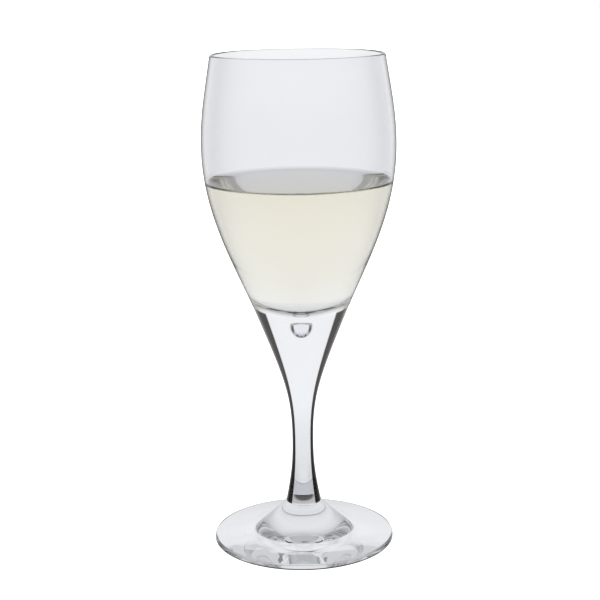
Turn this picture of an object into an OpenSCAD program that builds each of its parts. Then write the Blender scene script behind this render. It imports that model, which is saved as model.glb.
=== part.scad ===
// Hand-made stemmed wine glass, holding a measure of white wine.
// Frame: +Z up, origin on the table at the centre of the foot.
// Every piece is turned about Z. Outlines are [radius, height] points.

/* [Foot] */
// Diameter of the foot
foot_d = 74.4; // [62:0.2:90]
// Thickness of the foot's outer edge
foot_edge_t = 2.4; // [1.8:0.1:3.2]
// Radius that rounds the corners of the foot's edge
foot_edge_r = 0.8; // [0.4:0.1:0.85]
// Height of the hub's top, where the stem is joined on
hub_h = 16; // [13:0.5:20]
// Diameter of the hub's top
hub_d = 15.2; // [14.4:0.1:18]
// Slope of the hub's side at its top, in degrees from level
hub_angle = 52; // [40:1:75]
// Diameter at which the hub's hollow flare meets the foot's plain slope
flare_d = 44; // [38:1:48]
// Height of that circle
flare_h = 5.05; // [4.4:0.05:6]
// Width of the flat ring that the glass stands on
rest_ring_w = 4.5; // [3:0.5:6]
// Height of the hollow under the middle of the foot
under_h = 1.4; // [0.6:0.1:2]

/* [Stem] */
// Length of the stem, from the hub to the bowl
stem_len = 80; // [66:1:96]
// Diameter of the stem's lower end
stem_end_d = 14.4; // [12:0.1:14.4]
// Slope of the stem's side at its lower end, in degrees off upright
stem_end_angle = 11; // [8:1:16]
// Diameter of the stem at its slimmest
waist_d = 8.7; // [7.2:0.1:10.5]
// Height of the slimmest place above the hub
waist_h = 26.5; // [21:0.5:32]
// Diameter of the joint between stem and bowl
joint_d = 36.3; // [30:0.1:42]
// Slope of the glass where stem and bowl meet, in degrees off upright
joint_angle = 21.8; // [18:0.1:26]

/* [Air bubble] */
// Diameter of the bubble that is trapped in the top of the stem
bubble_d = 6.2; // [5:0.1:8]
// Depth of its widest place below the joint
bubble_mid = 2.2; // [1.6:0.1:3]
// Depth of the bubble
bubble_depth = 6.9; // [5:0.1:8]
// Diameter of the bubble's mouth, which the bowl's base closes
bubble_mouth_d = 4.8; // [3.6:0.1:5]
// How far the bowl's base sags into the bubble
bubble_sag = 1; // [0.4:0.1:1.4]

/* [Bowl] */
// Height of the bowl, from its joint with the stem to the rim
bowl_h = 104; // [86:1:125]
// Widest outside diameter of the bowl
bowl_d = 77.2; // [76:0.2:93]
// Height of the widest place above the joint
belly_h = 68; // [57:1:76]
// Outside diameter of the rim
rim_d = 68.8; // [60:0.2:76]
// Thickness of the rounded rim
rim_t = 1.2; // [0.9:0.1:1.8]
// Inward lean of the wall at the rim, in degrees
rim_lean = 9; // [4:1:14]
// Thickness of the wall from its shoulder up to the widest place
belly_t = 1.2; // [0.9:0.1:1.8]
// Height of the shoulder above the joint: below it the wall thickens towards the floor
shoulder_h = 22; // [18:1:30]
// Height of the floor's middle above the joint
floor_h = 2.4; // [2:0.1:4]
// How round the inside floor is: the level stretch either side of its middle
floor_reach = 12; // [9:0.5:14]

/* [Wine] */
// Depth of the wine above the middle of the bowl's floor
wine_depth = 51.1; // [20:0.1:60]

/* [Hidden] */
$fn = 96;

joint_z = hub_h + stem_len;          // where stem and bowl meet
rim_z = joint_z + bowl_h;            // top of the glass
belly_z = joint_z + belly_h;
floor_z = joint_z + floor_h;         // lowest point of the inside
wine_z = floor_z + wine_depth;       // level of the wine
rim_mid = [rim_d / 2 - rim_t / 2, rim_z - rim_t / 2];
upright = 90;
glass_tint = [0.90, 0.93, 0.96, 0.35];
wine_tint = [0.93, 0.88, 0.62, 0.55];

// Unit vector at an angle, counted from the radius towards +Z
function toward(angle) = [cos(angle), sin(angle)];

// One point of the cubic curve with ends a and d and handles b and c
function cubic(a, b, c, d, t) =
    pow(1 - t, 3) * a + 3 * pow(1 - t, 2) * t * b + 3 * (1 - t) * t * t * c + pow(t, 3) * d;

// Curve from a to d that leaves a at one angle and arrives at d at another.
// Each pull is the share of the straight distance over which that end keeps its angle.
function sweep(a, angle_a, pull_a, d, angle_d, pull_d, steps) =
    let (span = norm(d - a), b = a + pull_a * span * toward(angle_a))
    let (c = d - pull_d * span * toward(angle_d))
    [for (i = [0:steps]) cubic(a, b, c, d, i / steps)];

// Round corner about a centre, from one angle to another
function corner(centre, r, from, to, steps) =
    [for (i = [0:steps]) centre + r * toward(from + (to - from) * i / steps)];

// The same points the other way round, and all points but the first
function reversed(list) = [for (i = [len(list) - 1:-1:0]) list[i]];
function rest_of(list) = [for (i = [1:len(list) - 1]) list[i]];

// The points moved in by a gap, square to their outline
function inset(list, gap) =
    [for (i = [0:len(list) - 1])
        let (along = list[min(i + 1, len(list) - 1)] - list[max(i - 1, 0)])
        list[i] + gap * [-along.y, along.x] / norm(along)];

// Outside of the bowl, from the joint up to its widest place
function lower_outside() =
    sweep([joint_d / 2, joint_z], upright - joint_angle, 0.31,
          [bowl_d / 2, belly_z], upright, 0.38, 18);

// Outside of the bowl, from the joint up to the rim
function bowl_outside() = concat(
    lower_outside(),
    rest_of(sweep([bowl_d / 2, belly_z], upright, 0.36,
                  rim_mid + rim_t / 2 * toward(rim_lean), upright + rim_lean, 0.4, 8)));

// Inside of the lower wall, from its shoulder up to just under its widest place
function even_wall() =
    let (inner = inset(lower_outside(), belly_t))
    [for (i = [0:len(inner) - 2]) if (inner[i].y > joint_z + shoulder_h) inner[i]];

// Inside of the bowl, from the middle of the floor up to the rim
function bowl_inside() =
    let (base = [0, floor_z], wall = even_wall(), lean = wall[1] - wall[0])
    let (reach = floor_reach / norm(wall[0] - base))
    concat(
        sweep(base, 0, reach, wall[0], atan2(lean.y, lean.x), 0.35, 14),
        rest_of(wall),
        sweep([bowl_d / 2 - belly_t, belly_z], upright, 0.36,
              rim_mid - rim_t / 2 * toward(rim_lean), upright + rim_lean, 0.4, 8));

// Side of the stem, from the hub up to the bowl
function stem_side() = concat(
    sweep([stem_end_d / 2, hub_h], upright + stem_end_angle, 0.45,
          [waist_d / 2, hub_h + waist_h], upright, 0.37, 8),
    rest_of(sweep([waist_d / 2, hub_h + waist_h], upright, 0.34,
                  [joint_d / 2, joint_z], upright - joint_angle, 0.53, 14)));

// Pit in the stem's top face: from its mouth out to its widest place, then down to its tip
function bubble_pit() =
    let (widest = [bubble_d / 2, joint_z - bubble_mid])
    concat(
        sweep([bubble_mouth_d / 2, joint_z], -35, 0.5, widest, -upright, 0.5, 5),
        rest_of(sweep(widest, -upright, 0.22, [0, joint_z - bubble_depth], 180, 0.4, 10)));

// Underside of the bowl's base over the bubble, from the middle out to the bubble's mouth
function bubble_roof() =
    sweep([0, joint_z - bubble_sag], 0, 0.4, [bubble_mouth_d / 2, joint_z], 50, 0.35, 6);

// Upper surface of the foot, from the hub's top out to the edge
function foot_top() =
    let (start = [hub_d / 2, hub_h], meet = [flare_d / 2, flare_h])
    let (lip = [foot_d / 2 - foot_edge_r, foot_edge_t])
    let (slope = -atan2(meet.y - lip.y, lip.x - meet.x))
    concat(
        sweep(start, -hub_angle, 0.45, meet, slope, 0.15, 14),
        corner(lip - foot_edge_r * toward(upright + slope), foot_edge_r, upright + slope, 0, 4));

// Underside of the foot, from the edge in to the middle
function foot_under() =
    let (ring_r = foot_d / 2 - foot_edge_r, hollow_r = ring_r - rest_ring_w)
    concat(
        corner([ring_r, foot_edge_r], foot_edge_r, 0, -90, 4),
        sweep([hollow_r, 0], 180, 0.33, [0, under_h], 180, 0.33, 8));

// Pressed and turned disc with a hub, joined hot to the stem
module foot() {
    color(glass_tint)
        rotate_extrude()
            polygon(concat([[0, hub_h]], foot_top(), foot_under()));
}

// Solid stem drawn from a gather of glass, with the bubble's pit in its top
module stem() {
    color(glass_tint)
        rotate_extrude()
            polygon(concat([[0, hub_h]], stem_side(), bubble_pit()));
}

// Blown bowl: solid and thick at its base, thin at the rim. Its base closes the bubble.
module bowl() {
    color(glass_tint)
        rotate_extrude()
            polygon(concat(
                bubble_roof(),
                bowl_outside(),
                rest_of(corner(rim_mid, rim_t / 2, rim_lean, 180 + rim_lean, 6)),
                rest_of(reversed(bowl_inside()))));
}

// Wine: what the bowl's inside holds below the wine's level
module wine() {
    color(wine_tint)
        intersection() {
            rotate_extrude()
                polygon(concat(bowl_inside(), [[0, rim_z - rim_t / 2]]));
            cylinder(h = wine_z, d = bowl_d);
        }
}

foot();
stem();
bowl();
wine();
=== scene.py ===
"""A stemmed wine glass with a measure of white wine, on a plain pale floor."""

import math

import bpy
import numpy as np
from mathutils import Matrix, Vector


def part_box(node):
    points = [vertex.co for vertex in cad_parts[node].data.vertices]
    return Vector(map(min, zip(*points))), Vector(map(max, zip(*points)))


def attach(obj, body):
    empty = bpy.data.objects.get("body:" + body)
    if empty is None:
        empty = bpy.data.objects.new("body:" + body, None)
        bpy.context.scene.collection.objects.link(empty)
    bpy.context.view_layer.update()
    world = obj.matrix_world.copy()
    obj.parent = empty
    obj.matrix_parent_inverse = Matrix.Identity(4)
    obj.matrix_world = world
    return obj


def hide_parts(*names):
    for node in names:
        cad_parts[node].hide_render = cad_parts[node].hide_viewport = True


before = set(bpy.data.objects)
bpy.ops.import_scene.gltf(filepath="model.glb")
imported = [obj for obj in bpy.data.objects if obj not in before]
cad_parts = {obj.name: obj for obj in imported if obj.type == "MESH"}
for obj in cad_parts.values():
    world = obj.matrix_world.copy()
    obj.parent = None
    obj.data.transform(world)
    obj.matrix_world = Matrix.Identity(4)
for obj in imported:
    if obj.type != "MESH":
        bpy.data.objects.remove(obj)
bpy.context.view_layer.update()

MM = 0.001
AROUND = 192  # facets round each turned piece
ON_AXIS = 1e-7  # a ring with a smaller radius is one point


# Sizes --------------------------------------------------------------------------------------

foot_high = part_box("foot")[1]
stem_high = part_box("stem")[1]
bowl_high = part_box("bowl")[1]
wine_low, wine_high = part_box("wine")

foot_r, hub_z = foot_high.x, foot_high.z
joint_r, joint_z = stem_high.x, stem_high.z
bowl_r, rim_z = bowl_high.x, bowl_high.z
floor_z, wine_z = wine_low.z, wine_high.z

# Angles are in degrees. The pulls of a curve shape its two ends, as sweep() says.

FOOT_EDGE_T = 2.4 * MM
FOOT_EDGE_R = 0.8 * MM
HUB_R = 7.6 * MM
HUB_ANGLE = 52  # below level
FLARE_R = 22 * MM  # where the hub's flare meets the foot's plain slope
FLARE_Z = 5.05 * MM
FLARE_PULLS = 0.45, 0.15
REST_RING_W = 4.5 * MM
UNDER_H = 1.4 * MM  # of the hollow under the foot
UNDER_PULLS = 0.33, 0.33

STEM_END_R = 7.2 * MM
STEM_END_ANGLE = 11  # off upright
WAIST_R = 4.35 * MM
WAIST_Z = hub_z + 26.5 * MM
STEM_LOW_PULLS = 0.45, 0.37
STEM_HIGH_PULLS = 0.34, 0.53
JOINT_ANGLE = 21.8  # off upright
BUBBLE_R = 3.1 * MM
BUBBLE_MOUTH_R = 2.4 * MM
BUBBLE_MOUTH_ANGLE = 35  # below level
BUBBLE_MID = 2.2 * MM  # depth of its widest place
BUBBLE_DEPTH = 6.9 * MM
BUBBLE_HIGH_PULLS = 0.5, 0.5
BUBBLE_LOW_PULLS = 0.22, 0.4
BUBBLE_SAG = 1 * MM  # how far the bowl's base sags into it
SAG_ANGLE = 50  # above level, where the sag meets the bubble's mouth
SAG_PULLS = 0.4, 0.35

BELLY_Z = joint_z + 68 * MM
BELLY_T = 1.2 * MM
BOWL_LOW_PULLS = 0.31, 0.38
BOWL_HIGH_PULLS = 0.36, 0.4
RIM_R = 34.4 * MM
RIM_T = 1.2 * MM
RIM_LEAN = 9  # inwards, off upright
FLOOR_REACH = 12 * MM  # how far the floor's curve keeps near level
SHOULDER_H = 22 * MM  # above the joint; down to it the wall's thickness is even
SHOULDER_PULL = 0.35

MENISCUS_H = 1.3 * MM  # how far the wine climbs the glass
MENISCUS_REACH = 1.5 * MM
WINE_GAP = 0.02 * MM  # between the wine's own mesh and the wetted glass
contact_z = wine_z + MENISCUS_H  # where the wine's edge clings
CONTACT_CLEAR = 0.05 * MM  # points of the wall nearer than this to it are left out


# Outlines: [radius, height] points ----------------------------------------------------------

def toward(angle):
    return np.array([math.cos(math.radians(angle)), math.sin(math.radians(angle))])


def sweep(a, angle_a, d, angle_d, pulls, steps):
    """Curve from a to d that leaves a at one angle and arrives at d at another. A larger pull
    keeps it longer on that end's angle; pulls are shares of the distance from a to d."""
    a, d = np.array(a), np.array(d)
    span = np.linalg.norm(d - a)
    b = a + pulls[0] * span * toward(angle_a)
    c = d - pulls[1] * span * toward(angle_d)
    t = np.linspace(0, 1, steps + 1)[:, None]
    return (1 - t) ** 3 * a + 3 * (1 - t) ** 2 * t * b + 3 * (1 - t) * t**2 * c + t**3 * d


def corner(centre, r, start, end, steps):
    return np.array([centre + r * toward(a) for a in np.linspace(start, end, steps + 1)])


def straight(a, b, steps):
    return np.linspace(a, b, steps + 1)


def joined(*runs):
    """One run of points, without the points that neighbouring runs share."""
    return np.vstack([runs[0]] + [r[1:] for r in runs[1:]])


rim_mid = np.array([RIM_R - RIM_T / 2, rim_z - RIM_T / 2])


def lower_outside():
    """Outside of the bowl from the joint to its widest place."""
    joint, belly = [joint_r, joint_z], [bowl_r, BELLY_Z]
    return sweep(joint, 90 - JOINT_ANGLE, belly, 90, BOWL_LOW_PULLS, 72)


def bowl_outside():
    lip = rim_mid + RIM_T / 2 * toward(RIM_LEAN)
    return joined(
        lower_outside(),
        sweep([bowl_r, BELLY_Z], 90, lip, 90 + RIM_LEAN, BOWL_HIGH_PULLS, 36),
    )


def inset(points, gap):
    """The points moved in by gap, square to the outline."""
    along = np.gradient(points, axis=0)
    along /= np.linalg.norm(along, axis=1)[:, None]
    return points + gap * np.stack([-along[:, 1], along[:, 0]], axis=1)


def bowl_inside():
    """Inside of the bowl: the wall has an even thickness down to its shoulder, and from there
    the floor's curve leaves it."""
    belly = [bowl_r - BELLY_T, BELLY_Z]
    wall = inset(lower_outside(), BELLY_T)
    wall = wall[wall[:, 1] > joint_z + SHOULDER_H]
    wall[-1] = belly
    lean = wall[1] - wall[0]
    lean_angle = math.degrees(math.atan2(lean[1], lean[0]))
    base = np.array([0, floor_z])
    floor_pull = FLOOR_REACH / np.linalg.norm(wall[0] - base)
    lip = rim_mid - RIM_T / 2 * toward(RIM_LEAN)
    return joined(
        sweep(base, 0, wall[0], lean_angle, (floor_pull, SHOULDER_PULL), 60),
        wall,
        sweep(belly, 90, lip, 90 + RIM_LEAN, BOWL_HIGH_PULLS, 36),
    )


def wall_r(z):
    """Inside radius of the bowl at a height."""
    wall = bowl_inside()
    return float(np.interp(z, wall[:, 1], wall[:, 0]))


def wetted_wall():
    """The bowl's inside from the floor up to where the wine's edge clings."""
    wall = bowl_inside()
    below = wall[wall[:, 1] < contact_z - CONTACT_CLEAR]
    return np.vstack([below, [wall_r(contact_z), contact_z]])


def dry_wall():
    """The bowl's inside from there up to the rim."""
    wall = bowl_inside()
    above = wall[wall[:, 1] > contact_z + CONTACT_CLEAR]
    return np.vstack([[wall_r(contact_z), contact_z], above])


def wine_top():
    """The wine's surface, from its clinging edge in to the middle. The rings are closest
    together at the edge, where it curves."""
    edge_r = wall_r(contact_z) - WINE_GAP
    r = edge_r * (1 - np.linspace(0, 1, 80) ** 2)
    z = wine_z + MENISCUS_H * np.exp((r - edge_r) / MENISCUS_REACH)
    return np.stack([r, z], axis=1)


def stem_side():
    waist = [WAIST_R, WAIST_Z]
    return joined(
        sweep([STEM_END_R, hub_z], 90 + STEM_END_ANGLE, waist, 90, STEM_LOW_PULLS, 48),
        sweep(waist, 90, [joint_r, joint_z], 90 - JOINT_ANGLE, STEM_HIGH_PULLS, 96),
    )


def bubble_pit():
    mouth = [BUBBLE_MOUTH_R, joint_z]
    widest = [BUBBLE_R, joint_z - BUBBLE_MID]
    bottom = [0, joint_z - BUBBLE_DEPTH]
    return joined(
        sweep(mouth, -BUBBLE_MOUTH_ANGLE, widest, -90, BUBBLE_HIGH_PULLS, 14),
        sweep(widest, -90, bottom, 180, BUBBLE_LOW_PULLS, 28),
    )


def bubble_roof():
    """Underside of the bowl where it closes the bubble, from the axis out to the mouth."""
    mouth = [BUBBLE_MOUTH_R, joint_z]
    return sweep([0, joint_z - BUBBLE_SAG], 0, mouth, SAG_ANGLE, SAG_PULLS, 14)


def foot_top():
    meet = np.array([FLARE_R, FLARE_Z])
    lip = np.array([foot_r - FOOT_EDGE_R, FOOT_EDGE_T])
    slope = -math.degrees(math.atan2(meet[1] - lip[1], lip[0] - meet[0]))
    edge_mid = lip - FOOT_EDGE_R * toward(90 + slope)
    return joined(
        sweep([HUB_R, hub_z], -HUB_ANGLE, meet, slope, FLARE_PULLS, 64),
        straight(meet, lip, 30),
        corner(edge_mid, FOOT_EDGE_R, 90 + slope, 0, 14),
    )


def foot_corner():
    """Lower corner of the foot's edge, from the outside in to the resting ring."""
    centre = np.array([foot_r - FOOT_EDGE_R, FOOT_EDGE_R])
    return corner(centre, FOOT_EDGE_R, 0, -90, 14)


def foot_under():
    ring_r = foot_r - FOOT_EDGE_R
    hollow_r = ring_r - REST_RING_W
    return joined(
        straight([ring_r, 0], [hollow_r, 0], 8),
        sweep([hollow_r, 0], 180, [0, UNDER_H], 180, UNDER_PULLS, 40),
    )


# Turned meshes ------------------------------------------------------------------------------

def turned(name, runs):
    """A closed piece turned about Z. runs is [(points, material), ...] from the axis back to
    the axis; each run is smooth, and a sharp ring parts it from the next."""
    rings, sharp, kinds = [np.array(runs[0][0][0])], [], []
    materials = []
    for points, material in runs:
        if material not in materials:
            materials.append(material)
        sharp.append(len(rings) - 1)
        for p in points[1:]:
            rings.append(np.array(p))
            kinds.append(materials.index(material))
    verts, start = [], []
    for r, z in rings:
        start.append(len(verts))
        if r < ON_AXIS:
            verts.append((0, 0, z))
        else:
            for k in range(AROUND):
                a = 2 * math.pi * k / AROUND
                verts.append((r * math.cos(a), r * math.sin(a), z))
    start.append(len(verts))
    faces, face_kinds = [], []
    for i, kind in enumerate(kinds):
        lone_a = start[i + 1] - start[i] == 1
        lone_b = start[i + 2] - start[i + 1] == 1
        for k in range(AROUND):
            n = (k + 1) % AROUND
            a, a2 = start[i] + (0 if lone_a else k), start[i] + (0 if lone_a else n)
            b, b2 = start[i + 1] + (0 if lone_b else k), start[i + 1] + (0 if lone_b else n)
            face = [a, a2, b2, b]
            if lone_a:
                face = [a, b2, b]
            if lone_b:
                face = [a, a2, b]
            faces.append(face)
            face_kinds.append(kind)
    mesh = bpy.data.meshes.new(name)
    mesh.from_pydata(verts, [], faces)
    for m in materials:
        mesh.materials.append(m)
    mesh.polygons.foreach_set("material_index", face_kinds)
    mesh.polygons.foreach_set("use_smooth", [True] * len(faces))
    sharp_rings = {start[i] for i in sharp[1:]}
    for e in mesh.edges:
        a, b = e.vertices
        for s in sharp_rings:
            if s <= a < s + AROUND and s <= b < s + AROUND:
                e.use_edge_sharp = True
    mesh.validate()
    mesh.update()
    piece = bpy.data.objects.new(name, mesh)
    bpy.context.scene.collection.objects.link(piece)
    return piece


# Materials ----------------------------------------------------------------------------------

# Facing goes from 0, where a surface is seen straight on, to 1, where it is seen edge on.

GLASS_IOR = 1.5
WINE_IOR = 1.34
GLASS_TINT = (0.97, 0.98, 1.0)  # of the bowl's wall, its inside and the bubble
SOLID_TINT = (0.9, 0.92, 0.96)  # of the stem, the foot and the bowl's solid base
WAVE_SCALE = 70  # waves of about 14 mm
WAVE_DEPTH = 0.18 * MM
PAINTED_OUTLINE_SHADE = (0.08, 0.075, 0.075)  # painted shade on the bowl's wall, seen edge on
OUTLINE_SPAN = (0.66, 1.02)  # of the facing
PAINTED_LIMB_SHADE = (0.0012, 0.0009, 0.0008)  # painted shade of solid glass seen near its outline
LIMB_SPAN = (0.315, 0.35)  # of the facing, on an upright side
LIMB_SLOPE = 0.39  # how much a side's slope counts: one that faces down needs more facing
SOLID_TO_Z = joint_z + 2.8 * MM  # above it the bowl is a hollow wall, without a limb
SOLID_FADE = 1 * MM
SOLID_SLANT = 2 * MM  # the limb reaches this much higher at the outline
PAINTED_EDGE_SHADE = (0.002, 0.0017, 0.0017)  # painted shade on the lower corner of the foot's edge
EDGE_SPAN = (0.0, 0.2)  # of the facing
WINE_TINT = (0.87, 0.81, 0.58)
WINE_DENSITY = 11.5  # of the absorption


def new_material(name):
    material = bpy.data.materials.new(name)
    material.use_nodes = True
    return material, material.node_tree.nodes, material.node_tree.links


def clear_glass(name, ior=GLASS_IOR, tint=GLASS_TINT, waves=0):
    material, nodes, links = new_material(name)
    shader = nodes["Principled BSDF"]
    shader.inputs["Base Color"].default_value = (*tint, 1)
    shader.inputs["Roughness"].default_value = 0
    shader.inputs["IOR"].default_value = ior
    shader.inputs["Transmission Weight"].default_value = 1
    if waves:
        waviness(nodes, links, shader, waves)
    return material


def waviness(nodes, links, shader, depth):
    """Shallow waves that hand working leaves in solid glass."""
    place = nodes.new("ShaderNodeTexCoord")
    noise = nodes.new("ShaderNodeTexNoise")
    noise.inputs["Scale"].default_value = WAVE_SCALE
    noise.inputs["Detail"].default_value = 1
    bump = nodes.new("ShaderNodeBump")
    bump.inputs["Distance"].default_value = depth
    links.new(place.outputs["Object"], noise.inputs["Vector"])
    links.new(noise.outputs["Fac"], bump.inputs["Height"])
    links.new(bump.outputs["Normal"], shader.inputs["Normal"])


def remap(nodes, links, source, low, high, to_low, to_high):
    """A value that goes smoothly from to_low to to_high while source goes from low to high."""
    ramp = nodes.new("ShaderNodeMapRange")
    ramp.interpolation_type = "SMOOTHSTEP"
    for name, value in (("From Min", low), ("From Max", high), ("To Min", to_low), ("To Max", to_high)):
        ramp.inputs[name].default_value = value
    links.new(source, ramp.inputs["Value"])
    return ramp.outputs["Result"]


def calculate(nodes, links, operation, a, b):
    step = nodes.new("ShaderNodeMath")
    step.operation = operation
    for socket, value in zip(step.inputs, (a, b)):
        if isinstance(value, (int, float)):
            socket.default_value = value
        else:
            links.new(value, socket)
    return step.outputs[0]


def mixed_colour(nodes, links, amount, a, b):
    blend = nodes.new("ShaderNodeMix")
    blend.data_type = "RGBA"
    links.new(amount, blend.inputs["Factor"])
    for socket, value in zip([i for i in blend.inputs if i.type == "RGBA"], (a, b)):
        if isinstance(value, tuple):
            socket.default_value = (*value, 1)
        else:
            links.new(value, socket)
    return [o for o in blend.outputs if o.type == "RGBA"][0]


def thick_glass(name):
    """Outside of the stem and the bowl. Near its outline solid glass shows what lies far to
    the side. The pale studio has nothing dark there, so a dark limb of painted shade is laid
    on by the facing. It fades out where the bowl stops being solid, and the hollow wall has a
    thin outline of painted shade."""
    material = clear_glass(name)
    nodes, links = material.node_tree.nodes, material.node_tree.links
    shader = nodes["Principled BSDF"]
    facing = nodes.new("ShaderNodeLayerWeight").outputs["Facing"]
    place = nodes.new("ShaderNodeNewGeometry")
    height = nodes.new("ShaderNodeSeparateXYZ")
    links.new(place.outputs["Position"], height.inputs[0])
    slope = nodes.new("ShaderNodeSeparateXYZ")
    links.new(place.outputs["Normal"], slope.inputs[0])
    # Painted shade: a dark limb near the outline of solid glass, by facing and slope.
    lean = calculate(nodes, links, "MULTIPLY", slope.outputs["Z"], LIMB_SLOPE)
    limb = calculate(nodes, links, "ADD", facing, lean)
    limb = remap(nodes, links, limb, *LIMB_SPAN, 0, 1)
    rise = calculate(nodes, links, "MULTIPLY", facing, SOLID_SLANT)
    solid = calculate(nodes, links, "SUBTRACT", height.outputs["Z"], rise)
    solid = remap(nodes, links, solid, SOLID_TO_Z - SOLID_FADE, SOLID_TO_Z, 1, 0)
    outside = calculate(nodes, links, "SUBTRACT", 1, place.outputs["Backfacing"])
    amount = calculate(nodes, links, "MULTIPLY", limb, solid)
    amount = calculate(nodes, links, "MULTIPLY", amount, outside)
    colour = mixed_colour(nodes, links, solid, GLASS_TINT, SOLID_TINT)
    colour = mixed_colour(nodes, links, amount, colour, PAINTED_LIMB_SHADE)
    links.new(colour, shader.inputs["Base Color"])
    # Painted shade: a thin dark outline on the hollow wall, seen edge on.
    outline = remap(nodes, links, facing, *OUTLINE_SPAN, 0, 1)
    outline = calculate(nodes, links, "MULTIPLY", outline, outside)
    hollow = calculate(nodes, links, "SUBTRACT", 1, solid)
    outline = calculate(nodes, links, "MULTIPLY", outline, hollow)
    painted_outline_shader = nodes.new("ShaderNodeBsdfTransparent")
    painted_outline_shader.inputs["Color"].default_value = (*PAINTED_OUTLINE_SHADE, 1)
    mix = nodes.new("ShaderNodeMixShader")
    links.new(outline, mix.inputs[0])
    links.new(shader.outputs[0], mix.inputs[1])
    links.new(painted_outline_shader.outputs[0], mix.inputs[2])
    links.new(mix.outputs[0], nodes["Material Output"].inputs["Surface"])
    return material


def edge_glass(name):
    """A small round corner of solid glass, with a dark line of painted shade where it turns away."""
    material = clear_glass(name, tint=SOLID_TINT)
    nodes, links = material.node_tree.nodes, material.node_tree.links
    facing = nodes.new("ShaderNodeLayerWeight").outputs["Facing"]
    # Painted shade: the corner darkens as it turns away.
    amount = remap(nodes, links, facing, *EDGE_SPAN, 0, 1)
    colour = mixed_colour(nodes, links, amount, SOLID_TINT, PAINTED_EDGE_SHADE)
    links.new(colour, nodes["Principled BSDF"].inputs["Base Color"])
    return material


def fused(name):
    """Where two pieces of glass have melted together there is no surface to see."""
    material, nodes, links = new_material(name)
    nodes.remove(nodes["Principled BSDF"])
    clear = nodes.new("ShaderNodeBsdfTransparent")
    links.new(clear.outputs[0], nodes["Material Output"].inputs["Surface"])
    return material


def wine_liquid(name):
    """Only the open surface bends light here. Against the glass, the wetted wall does it."""
    material, nodes, links = new_material(name)
    shader = nodes["Principled BSDF"]
    shader.inputs["Base Color"].default_value = (1, 1, 1, 1)
    shader.inputs["Roughness"].default_value = 0
    shader.inputs["IOR"].default_value = WINE_IOR
    shader.inputs["Transmission Weight"].default_value = 1
    side = nodes.new("ShaderNodeBsdfTransparent")
    mask = nodes.new("ShaderNodeAttribute")
    mask.attribute_name = "open_surface"
    mix = nodes.new("ShaderNodeMixShader")
    links.new(mask.outputs["Fac"], mix.inputs[0])
    links.new(side.outputs[0], mix.inputs[1])
    links.new(shader.outputs[0], mix.inputs[2])
    links.new(mix.outputs[0], nodes["Material Output"].inputs["Surface"])
    absorb = nodes.new("ShaderNodeVolumeAbsorption")
    absorb.inputs["Color"].default_value = (*WINE_TINT, 1)
    absorb.inputs["Density"].default_value = WINE_DENSITY
    links.new(absorb.outputs[0], nodes["Material Output"].inputs["Volume"])
    return material


GLASS = clear_glass("clear_glass")
SOLID = clear_glass("solid_glass", tint=SOLID_TINT, waves=WAVE_DEPTH)
EDGE = edge_glass("edge_glass")
THICK = thick_glass("thick_glass")
WETTED = clear_glass("glass_against_wine", ior=GLASS_IOR / WINE_IOR)
FUSED = fused("fused_joint")
WINE = wine_liquid("white_wine")


# Pieces -------------------------------------------------------------------------------------

def placed(piece, node):
    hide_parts(node)
    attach(piece, "root")


def make_foot():
    return turned("glass_foot", [
        (foot_under()[::-1], SOLID),
        (foot_corner()[::-1], EDGE),
        (foot_top()[::-1], SOLID),
        (straight([HUB_R, hub_z], [STEM_END_R, hub_z], 2), SOLID),
        (straight([STEM_END_R, hub_z], [0, hub_z], 4), FUSED),
    ])


def make_stem():
    return turned("glass_stem", [
        (straight([0, hub_z], [STEM_END_R, hub_z], 4), FUSED),
        (stem_side(), THICK),
        (straight([joint_r, joint_z], [BUBBLE_MOUTH_R, joint_z], 4), FUSED),
        (bubble_pit(), GLASS),
    ])


def make_bowl():
    rim = corner(rim_mid, RIM_T / 2, RIM_LEAN, 180 + RIM_LEAN, 16)
    return turned("glass_bowl", [
        (bubble_roof(), GLASS),
        (straight([BUBBLE_MOUTH_R, joint_z], [joint_r, joint_z], 4), FUSED),
        (bowl_outside(), THICK),
        (joined(rim, dry_wall()[::-1]), GLASS),
        (wetted_wall()[::-1], WETTED),
    ])


def make_wine():
    """The wine. Its attribute open_surface is 1 on the surface and 0 against the glass."""
    side = wetted_wall() - [WINE_GAP, 0]
    side[:, 0] = np.maximum(side[:, 0], 0)
    side[0] = [0, floor_z + WINE_GAP]
    piece = turned("white_wine", [(side, WINE), (wine_top(), WINE)])
    mesh = piece.data
    mask = mesh.attributes.new("open_surface", "FLOAT", "FACE")
    side_faces = (len(side) - 1) * AROUND
    values = [0.0] * side_faces + [1.0] * (len(mesh.polygons) - side_faces)
    mask.data.foreach_set("value", values)
    return piece


placed(make_foot(), "foot")
placed(make_stem(), "stem")
placed(make_bowl(), "bowl")
placed(make_wine(), "wine")


# Stage, light and camera --------------------------------------------------------------------

# Levels go from 0, the dim room, to 1, white. A span is of the light's direction, whose Z is
# 1 straight up and whose Y is 1 straight back.

ROOM_COLOUR = (0.1, 0.09, 0.085)
TABLE_LEVEL, TABLE_SPAN = 0.58, (-0.85, -0.12)  # the shaded table; span of Z
BACKDROP_LEVEL, BACKDROP_SPAN = 0.86, (0.45, 0.9)  # span of Y
OVERHEAD_LEVEL, OVERHEAD_SPAN = 0.5, (0.0, 0.45)  # span of Z
GLOW_LEVEL, GLOW_SPAN = 0.5, (-0.6, -0.3)  # the floor all round; span of Z
SHADE_SPAN = (-0.9, -0.8)  # the shaded floor right under the glass; span of Z
TRAPPED_LEVEL = 0.64
NOT_MIRRORED, TRAPPED_AFTER = 0.5, 5.5  # limits between whole numbers of mirrorings

FLOOR_HALF = 6
FLOOR_COLOUR = (0.8, 0.8, 0.8)

CAMERA_PLACE = (0, -574.5 * MM, 235.7 * MM)
CAMERA_DIP = 13.16  # degrees below level
CAMERA_ROLL = -0.814  # degrees
CAMERA_LENS = 87.46
CAMERA_SHIFT = -0.0015


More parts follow.
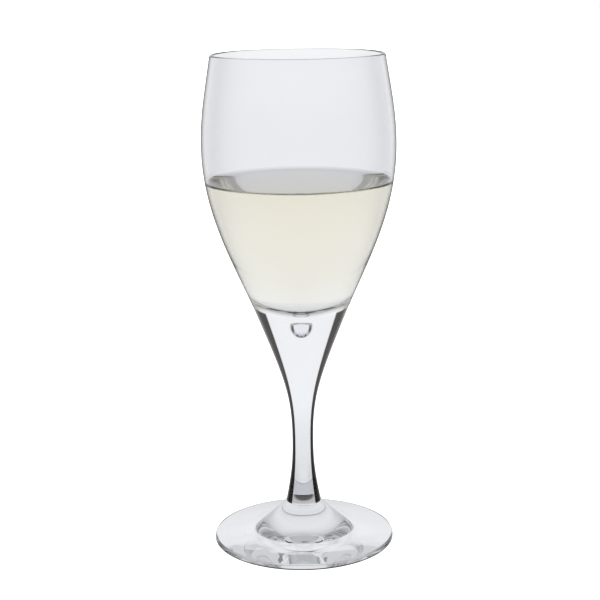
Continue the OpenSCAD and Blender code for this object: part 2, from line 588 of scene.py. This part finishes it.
def make_floor():
    mesh = bpy.data.meshes.new("floor")
    h = FLOOR_HALF
    mesh.from_pydata([(-h, -h, 0), (h, -h, 0), (h, h, 0), (-h, h, 0)], [], [(0, 1, 2, 3)])
    floor = bpy.data.objects.new("floor", mesh)
    bpy.context.scene.collection.objects.link(floor)
    material, nodes, links = new_material("pale_floor")
    shader = nodes["Principled BSDF"]
    shader.inputs["Base Color"].default_value = (*FLOOR_COLOUR, 1)
    shader.inputs["Emission Color"].default_value = (1, 1, 1, 1)
    shader.inputs["Emission Strength"].default_value = 1
    mesh.materials.append(material)
    floor.visible_glossy = False
    floor.visible_transmission = False


def make_world():
    """Paths that nothing has mirrored see even white light, dimmer from the shaded table under
    the glass. Mirrored paths see a bright backdrop behind the glass, a soft light above, the
    floor all round and a dim room. Those that the glass has mirrored many times, as in the
    foot's thin edge, see at least a level that stands for the mix of it all."""
    world = bpy.data.worlds.new("studio")
    bpy.context.scene.world = world
    world.use_nodes = True
    nodes, links = world.node_tree.nodes, world.node_tree.links
    direction = nodes.new("ShaderNodeSeparateXYZ")
    links.new(nodes.new("ShaderNodeTexCoord").outputs["Generated"], direction.inputs[0])
    backdrop = remap(nodes, links, direction.outputs["Y"], *BACKDROP_SPAN, 0, BACKDROP_LEVEL)
    overhead = remap(nodes, links, direction.outputs["Z"], *OVERHEAD_SPAN, 0, OVERHEAD_LEVEL)
    glow = remap(nodes, links, direction.outputs["Z"], *GLOW_SPAN, GLOW_LEVEL, 0)
    unshaded = remap(nodes, links, direction.outputs["Z"], *SHADE_SPAN, 0, 1)
    glow = calculate(nodes, links, "MULTIPLY", glow, unshaded)
    lit = calculate(nodes, links, "MAXIMUM", backdrop, overhead)
    lit = calculate(nodes, links, "MAXIMUM", lit, glow)
    path = nodes.new("ShaderNodeLightPath")
    mirrorings = path.outputs["Glossy Depth"]
    direct = calculate(nodes, links, "LESS_THAN", mirrorings, NOT_MIRRORED)
    table = remap(nodes, links, direction.outputs["Z"], *TABLE_SPAN, TABLE_LEVEL, 1)
    table = calculate(nodes, links, "MULTIPLY", table, direct)
    lit = calculate(nodes, links, "MAXIMUM", lit, table)
    trapped = calculate(nodes, links, "GREATER_THAN", mirrorings, TRAPPED_AFTER)
    trapped = calculate(nodes, links, "MULTIPLY", trapped, TRAPPED_LEVEL)
    lit = calculate(nodes, links, "MAXIMUM", lit, trapped)
    colour = mixed_colour(nodes, links, lit, ROOM_COLOUR, (1.0, 1.0, 1.0))
    links.new(colour, nodes["Background"].inputs["Color"])


def make_camera():
    data = bpy.data.cameras.new("camera")
    data.sensor_width = 36
    data.lens = CAMERA_LENS
    data.shift_x = CAMERA_SHIFT
    camera = bpy.data.objects.new("camera", data)
    bpy.context.scene.collection.objects.link(camera)
    tilt, roll = math.radians(90 - CAMERA_DIP), math.radians(CAMERA_ROLL)
    turn = Matrix.Rotation(tilt, 4, "X") @ Matrix.Rotation(roll, 4, "Z")
    camera.matrix_world = Matrix.Translation(CAMERA_PLACE) @ turn
    bpy.context.scene.camera = camera


make_floor()
make_world()
make_camera()

scene = bpy.context.scene
scene.view_settings.view_transform = "Standard"
scene.cycles.max_bounces = 24
scene.cycles.transmission_bounces = 24
scene.cycles.glossy_bounces = 16
scene.cycles.transparent_max_bounces = 32
